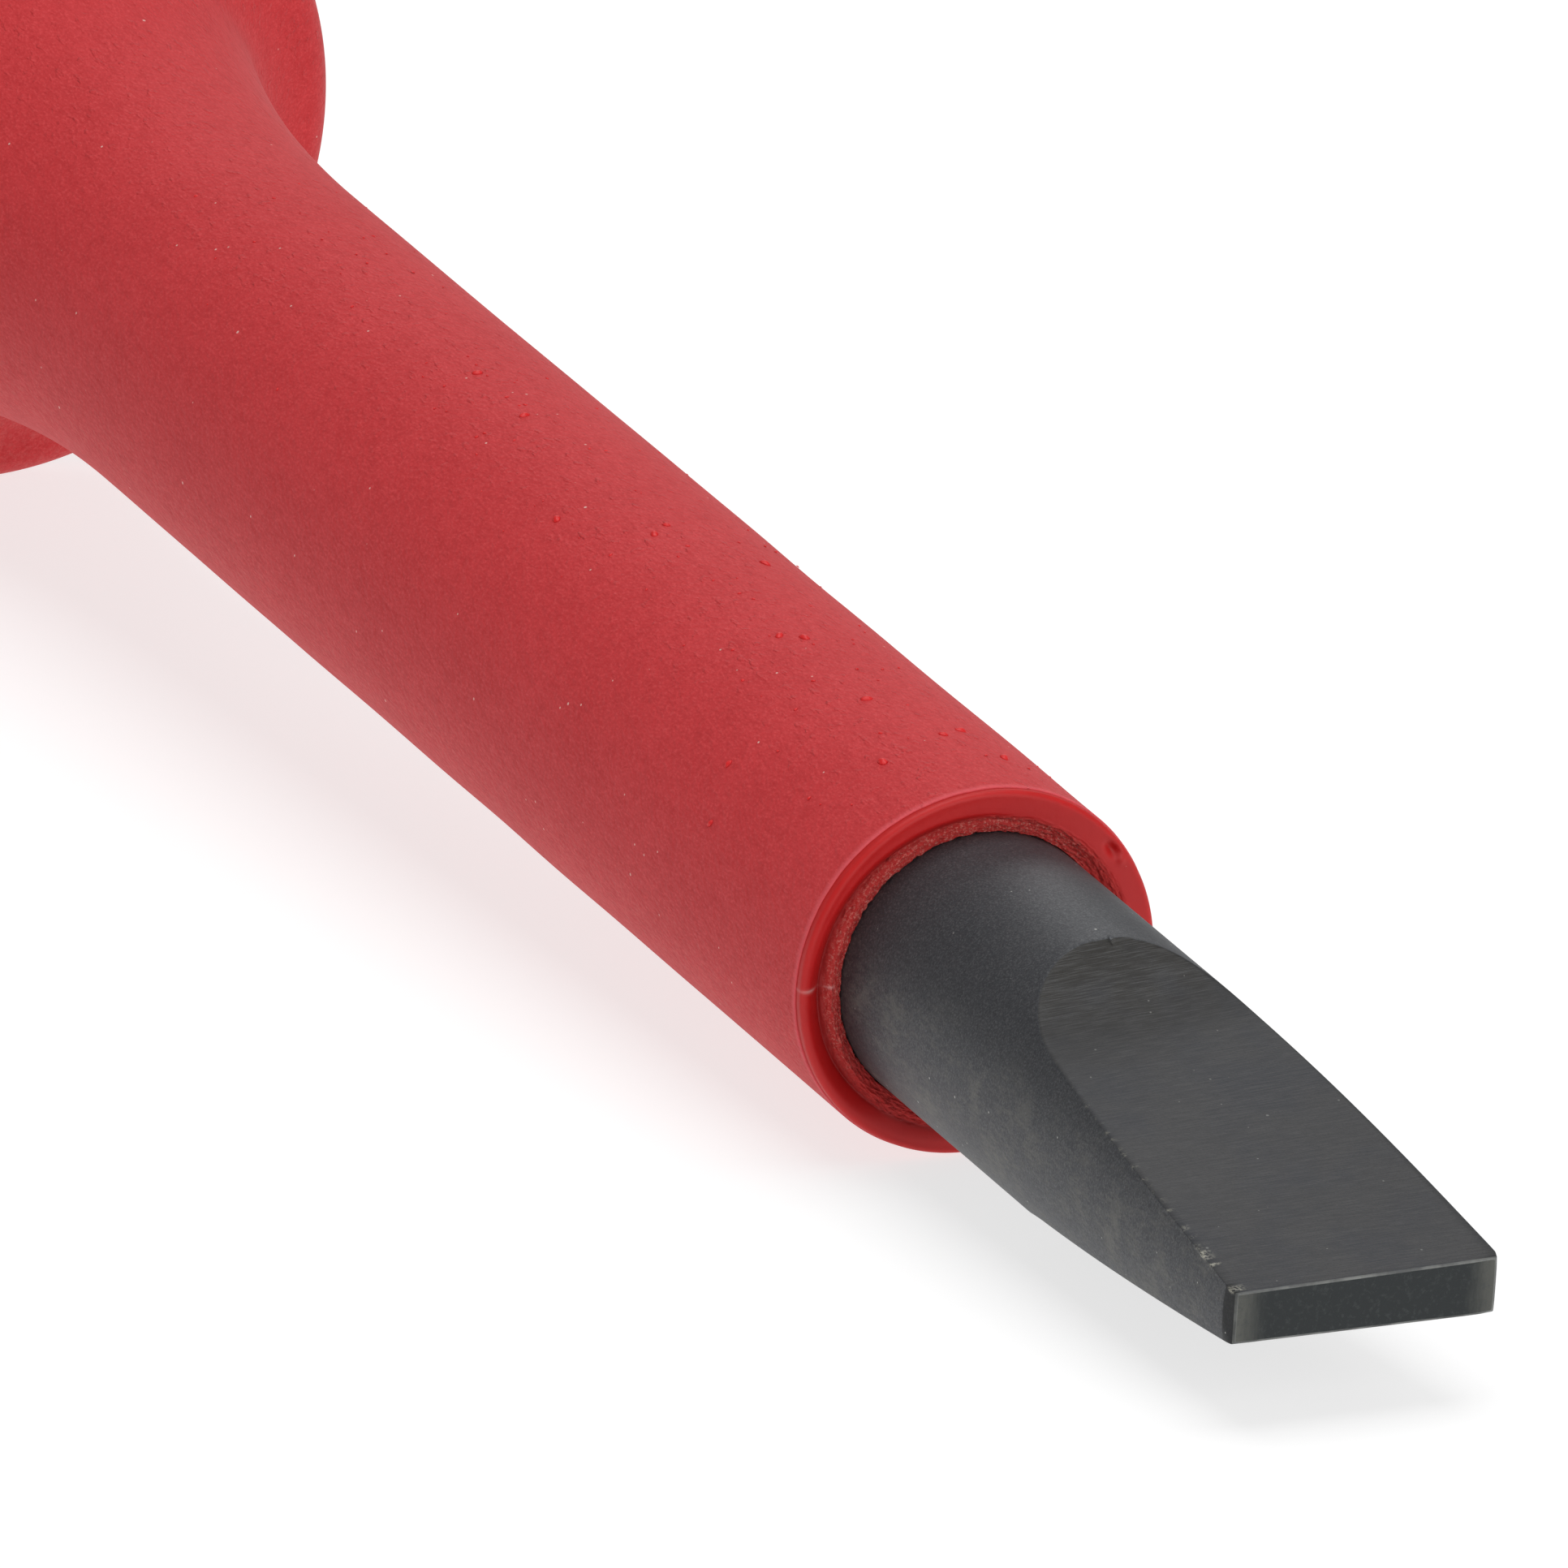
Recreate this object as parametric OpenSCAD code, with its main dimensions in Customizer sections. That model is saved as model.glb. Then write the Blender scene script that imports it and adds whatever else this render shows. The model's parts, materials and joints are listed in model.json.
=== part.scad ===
// Cold chisel: a round steel bar, ground to a blunt flat blade at one end and bevelled to a
// striking face at the other, inside a two-layer grip with a mushroom hand guard.
// Millimetres. +X runs along the bar from the striking face to the edge, and the blade's two
// ground flats face +Z and -Z. The origin is the centre of the striking face.

/* [Steel bar] */
// Length of the whole chisel, from the striking face to the blunt edge
overall_len = 254; // [250:1:280]
// Diameter of the round bar
bar_d = 19; // [18.6:0.1:19.2]
// Diameter of the flat striking face
face_d = 12.6; // [11:0.2:14]
// Length of the bevel around the striking face
head_bevel_len = 5.4; // [4:0.2:7]

/* [Blade] */
// Length of steel that shows between the mouth of the grip and the edge
blade_len = 57.4; // [52:0.1:66]
// Thickness of the blunt edge
edge_t = 3.66; // [2.4:0.02:4.6]
// Lean of each ground flat towards the middle plane, in degrees
flat_angle = 7.7; // [5:0.1:9]
// Length of the plane part of each flat, measured along the bar from the edge
flat_len = 30.8; // [24:0.2:35]
// Radius of the scoop that each flat runs out in
scoop_r = 17.8; // [12:0.2:24]
// How far the bevel on the blade's two side corners reaches back
corner_bevel_len = 1.2; // [0.6:0.1:1.8]
// How much that bevel takes off each side
corner_bevel = 0.3; // [0.1:0.05:0.5]

/* [Grip] */
// Outer diameter of the barrel
grip_d = 25.3; // [24.9:0.1:25.3]
// Length of the straight barrel, from the mouth to where the guard starts to flare
barrel_len = 119; // [110:1:122]
// Thickness of the soft skin on the barrel
skin_t = 1.6; // [1.2:0.1:1.7]
// Step from the skin down to the smooth nose of the core
skin_step = 0.12; // [0.06:0.02:0.24]
// Length of smooth nose that shows ahead of the skin
nose_len = 2.1; // [1.8:0.1:3.6]
// Rounding of the nose's outer edge
nose_round = 0.7; // [0.5:0.05:0.7]
// Radius of the quarter-round groove in the nose's end face
groove_r = 1.3; // [0.8:0.05:1.3]
// Thickness of the thin lip between the groove and the steel
lip_t = 0.63; // [0.5:0.01:0.65]
// Open gap around the steel inside the mouth
mouth_gap = 0.27; // [0.2:0.01:0.3]
// Depth of that gap
mouth_gap_depth = 14; // [5:1:24]

/* [Hand guard] */
// Diameter over the rim of the guard
guard_d = 50; // [50:1:60]
// Rounding of the guard's rim
rim_r = 2.8; // [2:0.1:2.8]
// Radius of the long gentle sweep where the barrel starts to flare
sweep_r = 120; // [110:1:120]
// Angle at which the gentle sweep gives way to the tight one, in degrees
sweep_turn = 15.5; // [13:0.5:15.5]
// Radius of the tight sweep up to the guard's front face
throat_r = 7.6; // [6:0.2:7.6]
// Lean of the guard's front face from the bar's axis, in degrees
front_angle = 78; // [74:1:78]
// Radius of the domed back of the guard
dome_r = 100; // [90:5:150]

/* [Hidden] */
$fn = 128;

bar_r = bar_d / 2;
// Where the mouth of the grip lies along the bar
mouth_x = overall_len - blade_len;
// A length that clears every cut
over = 30;

// Radii at the mouth, from the steel outwards
bore_r = bar_r + mouth_gap;
lip_r = bore_r + lip_t;
barrel_r = grip_d / 2;
core_r = barrel_r - skin_t;
nose_r = barrel_r - skin_step;

// Skin: its front edge, and the place where the barrel turns into the flare
skin_front_x = mouth_x - nose_len;
flare_x = mouth_x - barrel_len;

// A unit step on the profile plane, pointing from a sweep's centre into the guard.
// Profile points are [radius, place along the bar].
function inward(a) = [-cos(a), -sin(a)];
// The direction along the guard's front outline at the same angle
function along(a) = [sin(a), -cos(a)];

// Centres and ends of the two sweeps
sweep_c = [barrel_r + sweep_r, flare_x];
sweep_end = sweep_c + sweep_r * inward(sweep_turn);
throat_c = sweep_end - throat_r * inward(sweep_turn);
throat_end = throat_c + throat_r * inward(front_angle);

// The rim's circle sits at the end of the straight front face
face_run = (guard_d / 2 - rim_r - throat_end[0] + rim_r * cos(front_angle)) / sin(front_angle);
rim_start = throat_end + face_run * along(front_angle);
rim_c = rim_start + rim_r * inward(front_angle);

// The dome touches the rim's circle from outside, and its centre lies on the axis
dome_x = rim_c[1] + sqrt(pow(dome_r - rim_r, 2) - pow(rim_c[0], 2));
dome_c = [0, dome_x];
to_rim = (rim_c - dome_c) / norm(rim_c - dome_c);
core_back_x = dome_x - sqrt(pow(dome_r, 2) - pow(core_r, 2));

// The scoop's circle touches the plane of the flat where the plane part ends
touch = [overall_len - flat_len, edge_t / 2 + flat_len * tan(flat_angle)];
scoop_c = touch + scoop_r * [sin(flat_angle), cos(flat_angle)];
past_edge = [overall_len + over, edge_t / 2 - over * tan(flat_angle)];

// Turns a profile about the bar's axis
module turned() {
    rotate([0, 90, 0]) rotate_extrude() children();
}

// What the grinder takes off one side of the blade: a plane, run out in a scoop
module grinding() {
    rotate([90, 0, 0])
        linear_extrude(height = 2 * bar_d, center = true) {
            translate(scoop_c) circle(r = scoop_r);
            polygon([touch, past_edge, [past_edge[0], over], [scoop_c[0], over]]);
        }
}

// The steel: striking face, bevel, round bar, and blade with its two bevelled side corners
module chisel_bar() {
    color([0.27, 0.28, 0.3])
        difference() {
            turned()
                polygon([
                    [0, 0],
                    [face_d / 2, 0],
                    [bar_r, head_bevel_len],
                    [bar_r, overall_len - corner_bevel_len],
                    [bar_r - corner_bevel, overall_len],
                    [0, overall_len]
                ]);
            grinding();
            mirror([0, 0, 1]) grinding();
        }
}

// The hard tube on the bar, with a smooth nose, a groove and a thin lip at its mouth
module grip_core() {
    color([0.74, 0.13, 0.13])
        turned()
            difference() {
                polygon([
                    [bar_r, core_back_x],
                    [core_r, core_back_x],
                    [core_r, skin_front_x],
                    [nose_r, skin_front_x],
                    [nose_r, mouth_x],
                    [bore_r, mouth_x],
                    [bore_r, mouth_x - mouth_gap_depth],
                    [bar_r, mouth_x - mouth_gap_depth]
                ]);
                translate([lip_r, mouth_x])
                    intersection() {
                        circle(r = groove_r);
                        translate([0, -groove_r]) square(2 * groove_r);
                    }
                translate([nose_r - nose_round, mouth_x - nose_round])
                    difference() {
                        square(2 * nose_round);
                        circle(r = nose_round);
                    }
            }
}

// The air in front of the gentle sweep: a slice of its circle
module sweep_air() {
    reach = 1.1 * sweep_r;
    intersection() {
        translate(sweep_c) circle(r = sweep_r, $fn = 4 * $fn);
        polygon([
            sweep_c,
            sweep_c + reach * inward(0),
            sweep_c + reach * inward(sweep_turn)
        ]);
    }
}

// The soft moulding over the core: a barrel that flares into a domed, round-rimmed guard
module hand_guard_grip() {
    color([0.72, 0.22, 0.24])
        turned()
            intersection() {
                translate(dome_c) circle(r = dome_r, $fn = 4 * $fn);
                union() {
                    translate(rim_c) circle(r = rim_r);
                    difference() {
                        polygon([
                            [core_r, core_back_x - 2],
                            [core_r, skin_front_x],
                            [barrel_r, skin_front_x],
                            [barrel_r, flare_x],
                            sweep_end,
                            throat_end,
                            rim_start,
                            rim_c,
                            dome_c + (dome_r + 1) * to_rim
                        ]);
                        sweep_air();
                        translate(throat_c) circle(r = throat_r);
                    }
                }
            }
}

chisel_bar();
grip_core();
hand_guard_grip();
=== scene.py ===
# %% [markdown]
# # A guarded cold chisel, one surface at a time
#
# A cold chisel with a hand guard is a very simple tool: a round steel bar with a blunt blade ground
# on one end, pushed into a red two-layer grip. The CAD model already holds its sizes. This lesson
# builds the surfaces that a CAD model doesn't hold: worn edges, a flat that a grinder left slightly
# twisted, a moulded mouth with a parting line, pebbled rubber and blackened steel.
#
# Every surface is a grid of points worked out with numpy from a formula in two parameters: one runs
# along the bar, the other around it. Sizes are in millimetres until the mesh is made.

# %% Load the packed frame
import json
import math

import bpy
import numpy as np
from mathutils import Matrix, Vector


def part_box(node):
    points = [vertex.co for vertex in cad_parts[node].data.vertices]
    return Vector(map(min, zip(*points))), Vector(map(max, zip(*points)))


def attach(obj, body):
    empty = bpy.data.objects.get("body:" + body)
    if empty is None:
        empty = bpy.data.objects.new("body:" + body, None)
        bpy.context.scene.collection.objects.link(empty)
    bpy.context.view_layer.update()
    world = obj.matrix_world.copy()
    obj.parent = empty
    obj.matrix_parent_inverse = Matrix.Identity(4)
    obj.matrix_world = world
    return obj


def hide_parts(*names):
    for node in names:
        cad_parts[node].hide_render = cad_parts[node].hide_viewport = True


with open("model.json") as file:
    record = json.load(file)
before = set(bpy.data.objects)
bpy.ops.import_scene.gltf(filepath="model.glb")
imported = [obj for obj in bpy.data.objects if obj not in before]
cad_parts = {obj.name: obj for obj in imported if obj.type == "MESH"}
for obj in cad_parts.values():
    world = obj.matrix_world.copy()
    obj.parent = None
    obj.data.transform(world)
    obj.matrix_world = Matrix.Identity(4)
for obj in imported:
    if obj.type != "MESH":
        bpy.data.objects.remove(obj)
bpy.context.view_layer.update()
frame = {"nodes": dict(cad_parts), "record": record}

MM = 0.001
print("pieces in the frame:", sorted(frame["nodes"]))

# %% [markdown]
# ## Sizes from the frame
#
# The lengths that the CAD model fixes are read from its boxes, so the looks follow the design if it
# changes. Only the roundings and curves that a box can't tell are repeated as numbers.

# %% Read the main sizes
bar_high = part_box("chisel_bar")[1]
core_low, core_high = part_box("grip_core")
grip_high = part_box("hand_guard_grip")[1]
bar_r = bar_high[1] / MM
tip_x = bar_high[0] / MM
mouth_x = core_high[0] / MM
core_back_x = core_low[0] / MM
guard_r = grip_high[1] / MM
skin_front_x = grip_high[0] / MM
barrel = next(mount for mount in frame["record"]["mounts"] if mount["name"] == "barrel")
barrel_r = barrel["dims"]["r_mm"]
flare_x = barrel["pos_m"][0] / MM - barrel["dims"]["length_mm"] / 2
print(f"bar {2 * bar_r:.1f} mm round, {tip_x:.1f} mm long; barrel {2 * barrel_r:.1f} mm round")
print(f"mouth at {mouth_x:.1f} mm, flare starts at {flare_x:.1f} mm")
print(f"guard {2 * guard_r:.1f} mm across")

# %% [markdown]
# ## From a grid of points to a mesh
#
# A tube-like surface is a table of points: one row per place along the path, one column per step
# around. Each cell of the table becomes a four-sided face. A row can be closed by a pole: one point
# in its middle with a fan of triangles, so that the solid has no hole. With angles that grow from
# +Y to +Z and rows that run towards +X, every face points outwards.

# %% Faces of a grid
def grid_faces(rows, columns, loop):
    """Index table of the four-sided faces, columns wrapped, and rows wrapped too if loop is true."""
    row = np.arange(rows if loop else rows - 1)[:, None]
    column = np.arange(columns)[None, :]
    after = (column + 1) % columns
    below = (row + 1) % rows
    corners = [row * columns + column, row * columns + after,
               below * columns + after, below * columns + column]
    return np.stack([np.broadcast_to(c, (len(row), columns)).ravel() for c in corners], axis=1)


def pole_faces(rows, columns):
    """Index table of the fans that close the first and the last row, each round its own pole."""
    column = np.arange(columns)
    after = (column + 1) % columns
    first, last = rows * columns, rows * columns + 1
    end = (rows - 1) * columns
    opening = np.stack([np.full(columns, first), after, column], axis=1)
    closing = np.stack([np.full(columns, last), end + column, end + after], axis=1)
    return np.vstack([opening, closing])


print("a grid of 3 rows and 4 columns:", len(grid_faces(3, 4, False)), "four-sided faces and",
      len(pole_faces(3, 4)), "triangles at its poles")


# %% Grid to piece
def make_piece(name, points, loop=False, stands_for=None, paint=None):
    """A piece from points[copy, row, column, xyz] in mm. Each pole is the mean of an open row."""
    if points.ndim == 3:
        points = points[None]
    copies, rows, columns = points.shape[:3]
    corners = points.reshape(copies, rows * columns, 3)
    cells, fans = grid_faces(rows, columns, loop), np.empty((0, 3), int)
    if not loop:
        fans = pole_faces(rows, columns)
        poles = [points[:, :1].mean(axis=2), points[:, -1:].mean(axis=2)]
        corners = np.concatenate([corners, *poles], axis=1)
    base = corners.shape[1] * np.arange(copies)[:, None, None]
    faces = (base + cells).reshape(-1, 4).tolist() + (base + fans).reshape(-1, 3).tolist()
    corners = corners.reshape(-1, 3)
    mesh = bpy.data.meshes.new(name)
    mesh.from_pydata((corners * MM).tolist(), [], faces)
    mesh.polygons.foreach_set("use_smooth", np.ones(len(mesh.polygons), dtype=bool))
    for key, values in (paint or {}).items():
        layer = mesh.attributes.new(key, "FLOAT", "POINT")
        flat = np.zeros(len(corners), dtype=np.float32)
        flat[:values.size] = values.ravel()
        if not loop:
            flat[values.size:] = (values[0].mean(), values[-1].mean())
        layer.data.foreach_set("value", flat)
    mesh.update()
    piece = bpy.data.objects.new(name, mesh)
    bpy.context.scene.collection.objects.link(piece)
    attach(piece, "root")
    if stands_for:
        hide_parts(stands_for)
    print(f"{name}: {copies} x {rows} rows x {columns} columns, {len(faces)} faces")
    return piece


# %% Points around the bar and smooth steps
def around(radius, x, angle):
    """Points at a radius, a place along the bar and an angle from +Y towards +Z."""
    x, radius, angle = np.broadcast_arrays(x, radius, angle)
    return np.stack([x, radius * np.cos(angle), radius * np.sin(angle)], axis=-1)


def step(low, high, value):
    """Zero below low, one above high, and 3 t squared minus 2 t cubed between them."""
    t = np.clip((value - low) / (high - low), 0, 1)
    return t * t * (3 - 2 * t)


print("a quarter of the way up, a smooth step has reached", step(0, 1, 0.25))

# %% [markdown]
# ## The steel bar
#
# The bar's cross-section starts as a circle. The grinder takes a plane off its top and bottom, run
# out in a scoop, and a file breaks the two side corners at the edge. Seen from the bar's axis each
# of these is a distance in a given direction: R for the circle, h / sin(angle) for a plane at
# height h, and a number out of reach for a plane on the other side. The steel ends at the nearest
# one, so the section is the least of them. A soft minimum in place of a sharp one gives the fine
# worn round on every edge.
#
# A flat ground by hand is never true: the top one winds a few degrees from side to side, most at
# the scoop, while the bottom one is level. Its height is h plus a slope times the sideways distance,
# which the same formula takes in.

# %% Shape of the ground flat
edge_half = 1.83
lean = math.radians(7.7)
plane_len = 30.8
scoop_r = 17.8
touch_x = tip_x - plane_len
scoop_x = touch_x + scoop_r * math.sin(lean)
scoop_z = edge_half + plane_len * math.tan(lean) + scoop_r * math.cos(lean)
clear_len, clear_rise = 3, 60
least_winding, more_winding = 0.018, 0.045
winding_from, winding_to = mouth_x + 54, mouth_x + 26


def flat_height(x):
    """Height of the flat at mid-width: a line that leans up from the edge, then the scoop's circle.

    Behind the scoop it rises steeply, well clear of the bar, so that nothing is cut there.
    """
    line = edge_half + (tip_x - x) * math.tan(lean)
    drop = np.sqrt(np.maximum(scoop_r ** 2 - (x - scoop_x) ** 2, 0))
    clear = clear_rise * step(scoop_x - scoop_r, scoop_x - scoop_r - clear_len, x)
    return np.where(x > touch_x, line, scoop_z - drop + clear)


def winding(x):
    """Sideways slope of the top flat: slight at the edge, more towards the scoop."""
    return least_winding + more_winding * step(winding_from, winding_to, x)


print(f"flat is {float(flat_height(np.array(touch_x))):.2f} mm above the middle where the scoop starts")

# %% Section of the bar
corner_len = 1.2
corner_cut = 0.3
face_r = 6.3
bevel_len = 5.4
head_round, tip_round = 0.8, 0.16
edge_blend, corner_blend, round_len = 0.045, 0.11, 0.8
tiny, far = 1e-3, 99


def inset(into, worn):
    """How far a quarter circle of radius worn draws in, a distance into its run of that length."""
    return worn - np.sqrt(np.maximum(worn ** 2 - np.clip(into, 0, worn) ** 2, 0))


def bar_section(x, angle):
    """Distance from the axis to the steel: soft least of circle, two flats, side and head bevel.

    The soft least of values v is their least, minus b times the log of the sum of
    exp((least - v) / b), so b is about the width of the rounding.
    """
    side, up = np.cos(angle), np.sin(angle)
    worn = inset(x - (tip_x - tip_round), tip_round)
    circle = bar_r - worn
    slope = winding(x) * side
    height = flat_height(x) - worn
    top = np.where(up - slope > tiny, height / np.maximum(up - slope, tiny), far)
    bottom = np.where(-up > tiny, height / np.maximum(-up, tiny), far)
    half_width = bar_r - worn - corner_cut * (x - (tip_x - corner_len)) / corner_len
    corner = half_width / np.maximum(np.abs(side), tiny)
    head = face_r + (bar_r - face_r) * x / bevel_len
    head = head - inset(head_round - x, head_round)
    limits = np.stack(np.broadcast_arrays(circle, top, bottom, corner, head))
    least = limits.min(axis=0)
    right_corner = step(tip_x - round_len, tip_x, x) * step(0.5, 0.8, side)
    blend = edge_blend + corner_blend * right_corner
    return least - blend * np.log(np.exp(-(limits - least) / blend).sum(axis=0))


half_across, half_thick = bar_section(np.array(tip_x), np.array([0, math.pi / 2]))
print(f"inside its worn rim, the end face is {2 * half_thick:.2f} by {2 * half_across:.1f} mm")

# %% [markdown]
# The grid's columns follow the flat's edges, so that the arch where the scoop bites into the round
# bar stays crisp. At each row the two corners of the flat are found where its line meets the circle,
# and the columns are shared out between flat and round. Where the flat is narrow or there is none,
# the corners stay a least angle to either side of the top, so that no columns fall together.

# %% Columns that follow the ground edges
flat_columns, side_columns = 50, 54
least_half = math.radians(9)
full_turn = 2 * np.pi


def corner_angles(x, w):
    """Angles of a flat's right and left corner at each x: its line z = h + w y meets the circle."""
    h = flat_height(x)
    inside = np.maximum((h * w) ** 2 - (1 + w ** 2) * (h ** 2 - bar_r ** 2), 0)
    right = (-h * w + np.sqrt(inside)) / (1 + w ** 2)
    left = (-h * w - np.sqrt(inside)) / (1 + w ** 2)
    right = np.where(h < bar_r, np.arccos(np.clip(right / bar_r, -1, 1)), np.pi / 2)
    left = np.where(h < bar_r, np.arccos(np.clip(left / bar_r, -1, 1)), np.pi / 2)
    return np.minimum(right, np.pi / 2 - least_half), np.maximum(left, np.pi / 2 + least_half)


def share(count):
    """Steps from 0 to just under 1, drawn together towards both ends: part even, part a cosine."""
    t = np.arange(count) / count
    return 0.45 * t + 0.55 * (0.5 - 0.5 * np.cos(np.pi * t))


def bar_angles(x):
    """Column angles at each x: top flat, left round, bottom flat, right round, in turn."""
    right, left = (a[:, None] for a in corner_angles(x, winding(x)))
    low_right, low_left = (a[:, None] for a in corner_angles(x, 0))
    flat_t, side_t = share(flat_columns)[None, :], share(side_columns)[None, :]
    return np.hstack([
        right + (left - right) * flat_t,
        left + (full_turn - low_left - left) * side_t,
        full_turn - low_left + (low_left - low_right) * flat_t,
        full_turn - low_right + (low_right + right) * side_t,
    ])


corners_at_edge = np.degrees(corner_angles(np.array([tip_x]), winding(tip_x)))[:, 0]
print("at the edge the top flat's corners lie at", corners_at_edge.round(1), "degrees")

# %% [markdown]
# The rows are shared out in the same spirit: far apart where the bar is plain and inside the grip,
# and close together on the roundings and where the scoop bites in, because the arch there crosses
# many rows at a slant.

# %% Rows along the bar
def run(start, stop, spacing):
    """Even places from start to just before stop."""
    return np.linspace(start, stop, max(2, round((stop - start) / spacing)), endpoint=False)


bevel_starts, bevel_stops = bevel_len - 0.6, bevel_len + 0.6
scoop_starts, scoop_stops, plane_starts = mouth_x + 17.2, mouth_x + 21, mouth_x + 30
stretches = [
    (head_round, bevel_starts, 0.7),
    (bevel_starts, bevel_stops, 0.12),
    (bevel_stops, core_back_x + 3, 3),
    (core_back_x + 3, mouth_x - 12, 12),
    (mouth_x - 12, scoop_starts, 1.2),
    (scoop_starts, scoop_stops, 0.07),
    (scoop_stops, plane_starts, 0.18),
    (plane_starts, tip_x - 1.5, 0.27),
    (tip_x - 1.5, tip_x - 0.2, 0.13),
]
head_arc = np.linspace(0, np.pi / 2, 8, endpoint=False)
tip_arc = np.linspace(0, np.pi / 2, 7)
bar_x = np.concatenate([
    head_round * (1 - np.cos(head_arc)),
    *(run(*stretch) for stretch in stretches),
    tip_x - tip_round * (1 - np.sin(tip_arc)),
])
angle = bar_angles(bar_x)
radius = bar_section(bar_x[:, None], angle)
print(f"{len(bar_x)} rows, radius {radius.min():.2f} to {radius.max():.2f} mm")

# %% [markdown]
# Grinding leaves marks that a formula for the whole bar doesn't give, so they are added by place:
# a ragged burr rolled over along the left edge near the tip, and a tiny nick where the scoop starts.
# Each is a small bump or dip with a soft outline.

# %% Burr and nick
def spot(value, centre, width):
    """One at the centre, falling off as exp(-(distance / width) squared)."""
    return np.exp(-((value - centre) / width) ** 2)


def ragged(x, seed, length=0.5, waves=14):
    """Uneven steps along the bar: cosines of many lengths with seeded phases, clipped at zero."""
    draw = np.random.default_rng(seed)
    lengths = length * draw.uniform(0.4, 3, waves)
    phase = draw.uniform(0, full_turn, waves)
    total = np.cos(np.multiply.outer(x, full_turn / lengths) + phase).sum(axis=-1)
    return np.clip(total / 4, 0, 1.4)


burr_height, edge_width = 0.06, 0.012
long_curl, tip_curl = (0.14, 52.4, 0.3), (0.2, 56.8, 0.2)
nick_depth, nick_len, nick_width = 0.16, 0.3, 0.010
nick_angle = math.pi / 2 - 0.015
left_corner = corner_angles(bar_x, winding(bar_x))[1][:, None]
from_mouth = bar_x[:, None] - mouth_x
on_edge = spot(angle, left_corner, edge_width)
burr = burr_height * ragged(bar_x, 3)[:, None] * step(22, 48, from_mouth) * step(54.5, 53, from_mouth)
curl = sum(height * spot(from_mouth, place, width) for height, place, width in (long_curl, tip_curl))
radius = radius + on_edge * (burr + curl)
arch_x = scoop_x - math.sqrt(scoop_r ** 2 - (scoop_z - bar_r) ** 2)
nick = spot(bar_x[:, None], arch_x + 0.1, nick_len) * spot(angle, nick_angle, nick_width)
radius = radius - nick_depth * nick
points = around(radius, bar_x[:, None], angle)
print(f"the burr stands up to {(burr + curl).max():.2f} mm proud")
print(f"the scoop leaves the bar at {arch_x:.1f} mm")

# %% [markdown]
# ## End faces of the bar
#
# The last ring at each end still has to be filled. Rings that shrink towards its middle, the first
# ones close together, keep the worn rim's shading off the flat face, and a pole closes the smallest.
# The corner on the right of the edge was knocked, so the rows there lean back a little.

# %% Fill the ends
def closing_rows(ring, count):
    """Rows that shrink a ring to its middle, close together at first and then evenly."""
    keep = np.concatenate([[0.995, 0.98], np.linspace(0.95, 0, count, endpoint=False)])
    middle = ring.mean(axis=0)
    return middle + (ring - middle) * keep[:, None, None]


head_rows = closing_rows(points[0], 14)[::-1]
tip_rows = closing_rows(points[-1], 16)
points = np.concatenate([head_rows, points, tip_rows])
knock_depth, knock_len = 0.16, 1.6
knock_side, knock_stops = 7.6, 9.8
knocked = step(knock_side, knock_stops, points[..., 1]) * step(tip_x - knock_len, tip_x, points[..., 0])
points[..., 0] -= knock_depth * knocked
print(f"{len(head_rows)} rows fill the head, {len(tip_rows)} the edge")

# %% [markdown]
# ## Painting where each finish goes
#
# The steel has different finishes on its ground flats, its end face, its side bevels and its burr,
# and a painted highlight on its worn rim. Each gets a mask: a number from 0 to 1 stored at every
# point of the mesh, which the material reads later. A mask is worked out on the same grid as the
# shape, so its outline follows the shape exactly.

# %% Masks on the steel
first_row, after_row = len(head_rows), len(head_rows) + len(bar_x)
rim_rows = 5
shape = points.shape[:2]
x, y, z = (points[..., k] for k in range(3))

burr_mask = np.zeros(shape)
burr_mask[first_row:after_row] = np.clip(on_edge * (burr + curl) / 0.035, 0, 1)
face_mask = np.zeros(shape)
face_mask[after_row - 1:] = 1.0
# The rim rows carry a painted highlight along the edge.
rim_mask = np.zeros(shape)
rim_mask[after_row - rim_rows:after_row] = 1.0

full_angle = np.vstack([np.repeat(angle[:1], len(head_rows), axis=0), angle,
                        np.repeat(angle[-1:], len(tip_rows), axis=0)])
row_x = np.clip(x[:, 0], 0, tip_x - 0.2)
on_top = full_angle < math.pi
folded = np.minimum(full_angle, full_turn - full_angle)
right, left = (np.where(on_top, upper[:, None], lower[:, None])
               for upper, lower in zip(corner_angles(row_x, winding(row_x)), corner_angles(row_x, 0)))
ground_mask = ((folded >= right - 0.002) & (folded <= left + 0.002)).astype(float)
ground_mask = ground_mask * step(arch_x - 0.02, arch_x + 0.05, x)
ground_mask = ground_mask * (np.abs(z) <= flat_height(x) + winding(x) * y * on_top + 0.06)

bevel_x = tip_x - corner_len
bevel_mask = step(bevel_x - 0.05, bevel_x + 0.05, x) * (np.abs(y) > bar_r - 0.42)
bevel_mask = bevel_mask * (1 - face_mask) * (np.abs(z) < flat_height(x) - 0.06)
print(f"{ground_mask.mean():.0%} of the steel's points are on a ground flat")

# %% Make the steel bar
steel_bar = make_piece(
    "steel_chisel_bar", points, stands_for="chisel_bar",
    paint={"ground": ground_mask, "face": face_mask, "rim": rim_mask,
           "corner": bevel_mask, "burr": burr_mask})

# %% [markdown]
# ## Profiles turned about the bar
#
# The two layers of the grip are turned shapes. A profile is a closed loop of points, each a place
# along the bar and a radius, made of straight runs and arcs. It goes towards +X on the outside and
# comes back on the inside, so that the turned faces point outwards.

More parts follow.
